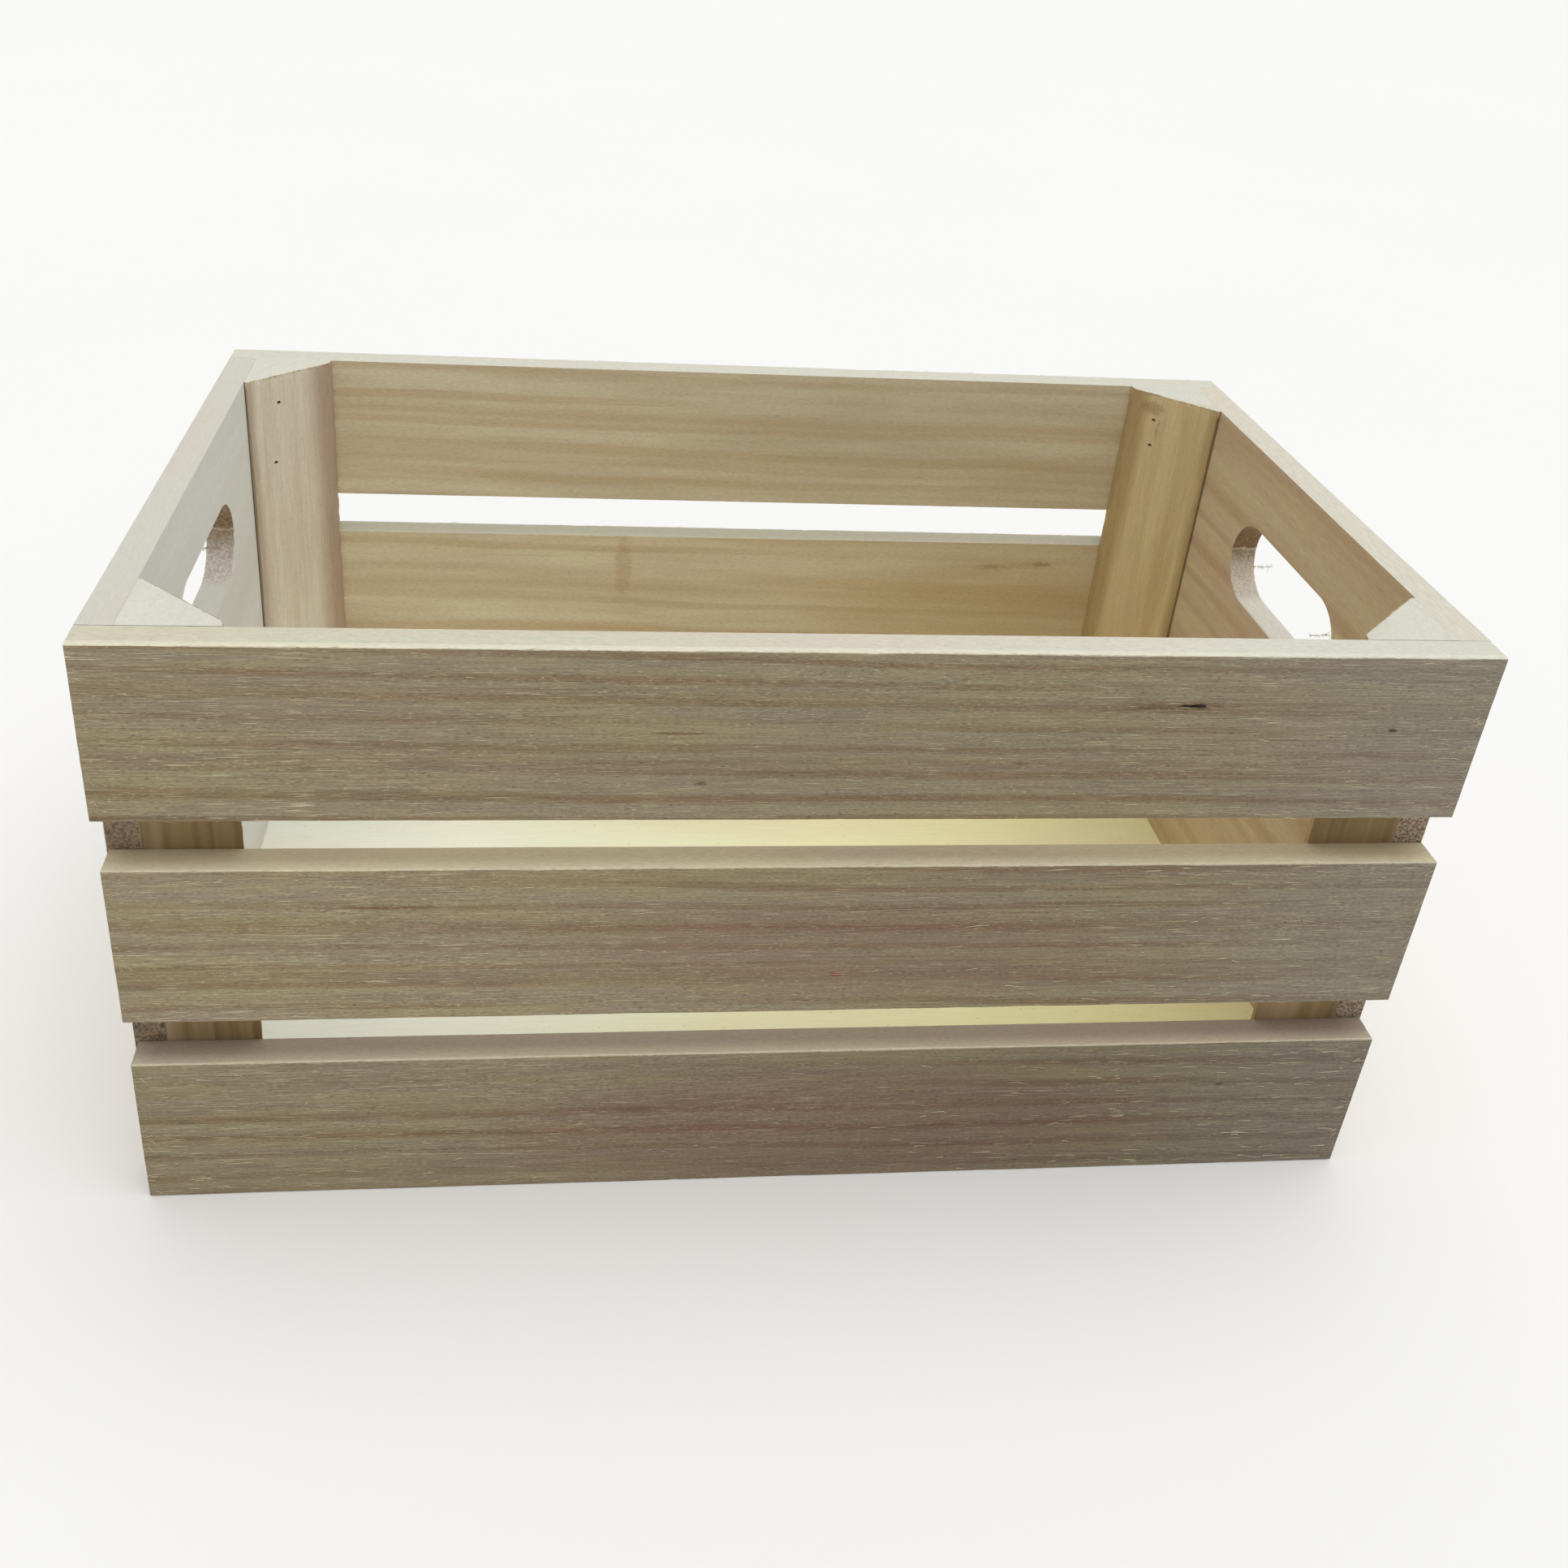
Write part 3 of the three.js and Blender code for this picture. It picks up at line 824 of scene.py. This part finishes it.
def corner_post(corner, material, seed):
    node = f"corner_post_{corner}"
    low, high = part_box(node)
    side_x, side_y = CORNERS[corner]
    heel_x = high.x if side_x > 0 else low.x
    heel_y = high.y if side_y > 0 else low.y
    leg_x = high.x - low.x
    leg_y = high.y - low.y

    def point(from_panel, from_slat):
        return Vector((heel_x - side_x * from_panel, heel_y - side_y * from_slat, low.z))

    bm = bmesh.new()
    tip_height = POST_TRIANGLE_Y * (1 - leg_x / POST_TRIANGLE_X)
    tip_width = POST_TRIANGLE_X * (1 - leg_y / POST_TRIANGLE_Y)
    corners = [(0, 0), (leg_x, 0), (leg_x, tip_height), (tip_width, leg_y), (0, leg_y)]
    outline = [bm.verts.new(point(*c)) for c in corners]
    foot = bm.faces.new(outline)
    bm.normal_update()
    if foot.normal.z > 0:
        foot.normal_flip()
    bmesh.ops.bevel(
        bm, geom=[outline[2]], offset=POST_NOSE, affect="VERTICES",
        segments=3, profile=0.5, material=-1
    )
    longest = max(bm.edges, key=lambda e: e.calc_length())
    bmesh.ops.subdivide_edges(bm, edges=[longest], cuts=POST_SLOPE_CUTS)
    top = bmesh.ops.extrude_face_region(bm, geom=bm.faces[:], use_keep_orig=True)["geom"]
    lifted = [g for g in top if isinstance(g, bmesh.types.BMVert)]
    bmesh.ops.translate(bm, verts=lifted, vec=(0, 0, high.z - low.z))
    half_height = 0.5 * (high.z - low.z)
    uprights = [e for e in bm.edges if abs(e.verts[0].co.z - e.verts[1].co.z) > half_height]
    bmesh.ops.subdivide_edges(bm, edges=uprights, cuts=POST_HEIGHT_CUTS)
    bmesh.ops.recalc_face_normals(bm, faces=bm.faces)
    bm.normal_update()
    inward = Vector((-side_x, -side_y, 0)).normalized()
    rim = [
        e for e in bm.edges
        if all(v.co.z > high.z - 0.01 * MM for v in e.verts)
        and any(f.normal.dot(inward) > 0.6 for f in e.link_faces)
    ]
    bmesh.ops.bevel(
        bm, geom=rim, offset=0.35 * MM, affect="EDGES", segments=2, profile=0.5, material=-1
    )
    bm.normal_update()
    moves = {}
    for vert in bm.verts:
        flat = Vector((vert.normal.x, vert.normal.y, 0))
        flat = flat.normalized() if flat.length > 0 else flat
        from_panel = abs(vert.co.x - heel_x)
        move = Vector((0, 0, 0))
        if flat.dot(inward) > 0.2:
            saw = noise.noise(Vector((vert.co.x * 260, vert.co.y * 260, vert.co.z * 14 + seed)))
            bow = noise.noise(Vector((vert.co.x * 50, vert.co.y * 50, vert.co.z * 16 + seed)))
            move -= flat * (0.14 + 0.12 * saw + 0.16 * bow) * MM
        if from_panel > leg_x - 2.2 * MM:
            is_torn = corner == "back_left" and TORN_NOSE_LOW < vert.co.z < TORN_NOSE_HIGH
            torn = 0.9 if is_torn else 0.3
            bite = max(0.0, noise.noise(Vector((seed, 2.5, vert.co.z * 330))) + 0.15)
            move.x += side_x * torn * bite * MM
        beside_slat = abs(vert.co.y - heel_y) < 1 * MM
        if from_panel < 0.01 * MM and (beside_slat or vert.co.z > high.z - 0.01 * MM):
            move.x += side_x * 0.26 * MM
        moves[vert] = move
    for vert, move in moves.items():
        vert.co += move
    bm = cut_away(bm, brad_hole_cutters(corner))
    return finish_piece(f"{corner}_corner_post", bm, material, [node])


def floor_panel(material):
    low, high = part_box("floor_panel")
    bm = gridded_block(low, high, FLOOR_PITCH)
    for vert in bm.verts:
        sag = noise.noise(Vector((vert.co.x * 7, vert.co.y * 9, 3.3)))
        across = 1 - (2 * vert.co.y / (high.y - low.y)) ** 2
        along = 1 - (2 * vert.co.x / (high.x - low.x)) ** 2
        vert.co.z -= (0.25 + 0.2 * sag) * max(0, across) * max(0, along) * MM
    return finish_piece("floor_sheet", bm, material, ["floor_panel"])



def add_fibre(bm, root, along, out, length, radius, lift, curl=0.0):
    """One loose fibre: it starts in the wood and tapers to a tip that stands off and bends."""
    side = along.cross(out)
    rings = []
    for i in range(FIBRE_RINGS):
        t = i / FIBRE_RINGS
        centre = root + along * length * t + out * lift * t * t + side * curl * t * t
        width = radius * (1 - 0.6 * t)
        turns = [k * math.tau / 3 for k in range(3)]
        spokes = [out * math.cos(turn) + side * math.sin(turn) for turn in turns]
        rings.append([bm.verts.new(centre + spoke * width) for spoke in spokes])
    tip = bm.verts.new(root + along * length + out * lift + side * curl)
    bm.faces.new(rings[0])
    for first, second in zip(rings, rings[1:]):
        for k in range(3):
            bm.faces.new((first[k], first[k - 1], second[k - 1], second[k]))
    for k in range(3):
        bm.faces.new((rings[-1][k], rings[-1][k - 1], tip))


def fibre_piece(name, bm, material):
    bmesh.ops.recalc_face_normals(bm, faces=bm.faces)
    return finish_piece(name, bm, material, [])


def slat_fibres(side, level, material, seed):
    """Fibres raised by the saw on a slat's outer face, most near its ends, and along its rims."""
    chance = random.Random(seed)
    low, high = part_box(f"slat_{side}_{level}")
    outward = Vector((0, 1 if side == "back" else -1, 0))
    face_y = high.y if side == "back" else low.y
    bm = bmesh.new()
    rows = [chance.uniform(low.z + 2 * MM, high.z - 1.5 * MM) for _ in range(26)]
    for _ in range(FIBRES_PER_SLAT):
        spread = chance.uniform(-1, 1)
        spread = math.copysign(abs(spread) ** 0.5, spread) * 0.985
        x = (low.x + high.x) / 2 + (high.x - low.x) / 2 * spread
        z = chance.choice(rows) + chance.gauss(0, 0.7 * MM)
        z = max(low.z + 1.5 * MM, min(high.z - 1.6 * MM, z))
        way = chance.choice((-1, 1))
        length = chance.triangular(1.5, 9, 2.5) * MM
        if abs(x + way * length) > high.x - 1 * MM:
            way = -way
        along = Vector((way, 0, chance.gauss(0, 0.014))).normalized()
        root = Vector((x, face_y - outward.y * 0.12 * MM, z))
        radius = chance.uniform(0.05, 0.12) * MM
        lift = chance.uniform(0.1, 0.6) * MM
        add_fibre(bm, root, along, outward, length, radius, lift, chance.gauss(0, 0.25) * MM)
    for end in (low.x, high.x):
        way = 1 if end < 0 else -1
        for _ in range(FIBRES_PER_SLAT_END):
            tilt = chance.uniform(-0.9, 0.9)
            along = Vector((way * math.cos(tilt), 0, math.sin(tilt)))
            root = Vector((
                end + way * chance.uniform(0.2, 3) * MM,
                face_y - outward.y * 0.1 * MM,
                chance.choice(rows) + chance.gauss(0, 1) * MM,
            ))
            root.z = max(low.z + 2 * MM, min(high.z - 3 * MM, root.z))
            length = chance.uniform(1.5, 3.5) * MM
            lift = chance.uniform(0.3, 0.9) * MM
            add_fibre(bm, root, along, outward, length, 0.1 * MM, lift, chance.gauss(0, 0.8) * MM)
    for _ in range(FIBRES_PER_SLAT_RIM):
        upper = chance.random() < 0.6 or level == "bottom"
        root = Vector((
            chance.uniform(low.x + 4 * MM, high.x - 8 * MM),
            face_y - outward.y * 0.35 * MM,
            high.z - 0.35 * MM if upper else low.z + 0.25 * MM,
        ))
        out = (outward + Vector((0, 0, 1 if upper else -1))).normalized()
        along = Vector((1, 0, chance.gauss(0, 0.05))).normalized()
        length = chance.uniform(1.2, 4.5) * MM
        radius = chance.uniform(0.05, 0.1) * MM
        lift = chance.uniform(0.1, 0.5) * MM
        add_fibre(bm, root, along, out, length, radius, lift)
    return fibre_piece(f"{side}_{level}_slat_fibres", bm, material)


def hand_hole_fibres(end, material, seed):
    """Loose fibres meant for the walls of a hand-hole's round ends. Known fault: the loop gives
    radius a second meaning, so all but the first fibre stand clear of the wall."""
    chance = random.Random(seed)
    low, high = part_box(f"end_panel_{end}")
    radius = HANDLE_HEIGHT / 2
    straight = HANDLE_LENGTH / 2 - radius
    middle = high.z - HANDLE_DROP - radius
    bm = bmesh.new()
    for way in (-1, 1):
        for i in range(FIBRES_PER_HOLE_END):
            at_middle = i < FIBRES_AT_MID_HEIGHT
            angle = chance.gauss(-0.08, 0.12) if at_middle else chance.uniform(-1.35, 0.1)
            out = Vector((0, -way * math.cos(angle), -math.sin(angle)))
            root = Vector((
                chance.uniform(low.x + 0.5 * MM, high.x - 0.5 * MM),
                way * (straight + radius * math.cos(angle)),
                middle + radius * math.sin(angle),
            ))
            along = Vector((chance.gauss(0, 1), chance.gauss(0, 0.3), chance.gauss(0, 0.5)))
            along = (along - out * along.dot(out)).normalized()
            room = abs((high.x if along.x > 0 else low.x) - root.x)
            length = min(chance.uniform(0.8, 3) * MM, room / abs(along.x))
            radius = chance.uniform(0.06, 0.12) * MM
            lift = chance.uniform(0.05, 0.4) * MM
            add_fibre(bm, root - out * 0.1 * MM, along, out, length, radius, lift)
    return fibre_piece(f"{end}_hand_hole_fibres", bm, material)


def post_burrs(corner, material, seed):
    """The ragged burr that the saw left along the top of a post's slope."""
    chance = random.Random(seed)
    side_x, side_y = CORNERS[corner]
    low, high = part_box(f"corner_post_{corner}")
    heel = Vector((high.x if side_x > 0 else low.x, high.y if side_y > 0 else low.y, high.z))
    bm = bmesh.new()
    down_slope = Vector((-side_x * POST_TRIANGLE_X, side_y * POST_TRIANGLE_Y, 0)).normalized()
    out = Vector((-side_x * POST_TRIANGLE_Y, -side_y * POST_TRIANGLE_X, 0)).normalized()
    for _ in range(BURRS_PER_POST):
        share = chance.uniform(0.06, 0.9)
        run_x = side_x * share * POST_TRIANGLE_X
        run_y = side_y * (1 - share) * POST_TRIANGLE_Y
        root = heel - Vector((run_x, run_y, 0))
        along = down_slope * chance.choice((-1, 1)) + Vector((0, 0, chance.uniform(-0.5, 0.1)))
        along.normalize()
        root += Vector((0, 0, -0.08 * MM)) - out * 0.2 * MM
        length = chance.uniform(0.5, 2) * MM
        radius = chance.uniform(0.1, 0.22) * MM
        add_fibre(bm, root, along, out, length, radius, chance.uniform(0.1, 0.6) * MM)
    return fibre_piece(f"{corner}_post_burrs", bm, material)


# ---------------------------------------------------------------- the crate

SIDE_SEEDS = {"front": 1, "back": 4}

loose_fibre = straw("loose_fibre")

for side in ("front", "back"):
    for i, level in enumerate(LEVELS):
        seed = SIDE_SEEDS[side] + i
        grain_shift = (0.31 * seed, 0.045 + 0.013 * seed, 0.06 - 0.017 * i)
        outward = (0, 1 if side == "back" else -1, 0)
        # Painted shade: front slats below the top take the darker edge tones; the back slats all take
        # the top ones
        edge = EDGE_TONES_WITH_SHADE[level if side == "front" else "top"]
        look = dict(SLAT_LOOK, edge=edge, shade=SHADES.get((side, level), (1, 1)))
        finish_name = f"{side}_{level}_slat_wood"
        detail = slat_detail(side, level)
        slat(side, level, wood(finish_name, X, outward, look, grain_shift, detail), seed)
        slat_fibres(side, level, loose_fibre, seed)

for end, look, grain_shift, seed in (
    ("left", LEFT_PANEL_LOOK_WITH_LIGHT, (0.2, 0.25, 0.11), 8),
    ("right", PANEL_LOOK, (0.55, 0.24, 0.07), 9),
):
    outward = (-1 if end == "left" else 1, 0, 0)
    end_panel(end, wood(f"{end}_panel_wood", Y, outward, look, grain_shift, panel_detail), seed)
    hand_hole_fibres(end, loose_fibre, seed)

for i, corner in enumerate(CORNERS):
    inward = Vector((-CORNERS[corner][0], -CORNERS[corner][1], 0)).normalized()
    look = PINK_POST_LOOK if corner.endswith("left") else POST_LOOK
    detail = post_detail(corner)
    post_wood = wood(f"{corner}_post_wood", Z, inward, look, (0.1 * i, 0.09, 0.16), detail)
    corner_post(corner, post_wood, 20 + i)
    post_burrs(corner, loose_fibre, 20 + i)

floor_panel(plywood("floor_plywood_finish"))

brad_steel = steel("brad_steel_finish")
for name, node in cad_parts.items():
    if name.startswith("brad_"):
        node.data.materials.clear()
        node.data.materials.append(brad_steel)


# ---------------------------------------------------------------- studio

CAMERA_PLACE = Vector((-0.0749, -0.4549, 0.4114))
CAMERA_TURN = math.radians(7.41)
CAMERA_PITCH = math.radians(26.57)
CAMERA_ROLL = math.radians(4.41)
CAMERA_LENS = 34.06
CAMERA_SHIFT = (0.0374, -0.1559)


def camera():
    data = bpy.data.cameras.new("camera")
    data.lens = CAMERA_LENS
    data.shift_x, data.shift_y = CAMERA_SHIFT
    data.clip_start = 0.01
    eye = bpy.data.objects.new("camera", data)
    aim = Euler((math.pi / 2 - CAMERA_PITCH, 0, -CAMERA_TURN)).to_matrix()
    roll = Matrix.Rotation(CAMERA_ROLL, 3, "Z")
    eye.rotation_euler = (aim @ roll).to_euler()
    eye.location = CAMERA_PLACE
    bpy.context.scene.collection.objects.link(eye)
    bpy.context.scene.camera = eye


def studio_ground():
    bm = bmesh.new()
    bmesh.ops.create_grid(bm, x_segments=1, y_segments=1, size=8)
    mesh = bpy.data.meshes.new("ground")
    bm.to_mesh(mesh)
    bm.free()
    mesh.materials.append(studio_floor("ground_finish"))
    ground = bpy.data.objects.new("ground", mesh)
    bpy.context.scene.collection.objects.link(ground)


def sun(name, strength, angle, direction):
    data = bpy.data.lights.new(name, "SUN")
    data.energy = strength
    data.angle = math.radians(angle)
    lamp = bpy.data.objects.new(name, data)
    lamp.rotation_euler = Vector(direction).to_track_quat("Z", "Y").to_euler()
    bpy.context.scene.collection.objects.link(lamp)


def sky(strength, colour):
    world = bpy.data.worlds.new("studio")
    world.use_nodes = True
    background = world.node_tree.nodes["Background"]
    background.inputs["Color"].default_value = colour
    background.inputs["Strength"].default_value = strength
    bpy.context.scene.world = world


camera()
studio_ground()
sky(0.56, (1.0, 1.0, 1.0, 1.0))
sun("key", 1.5, 62, (0.12, -0.1, 1.0))
bpy.context.scene.view_settings.view_transform = "Standard"
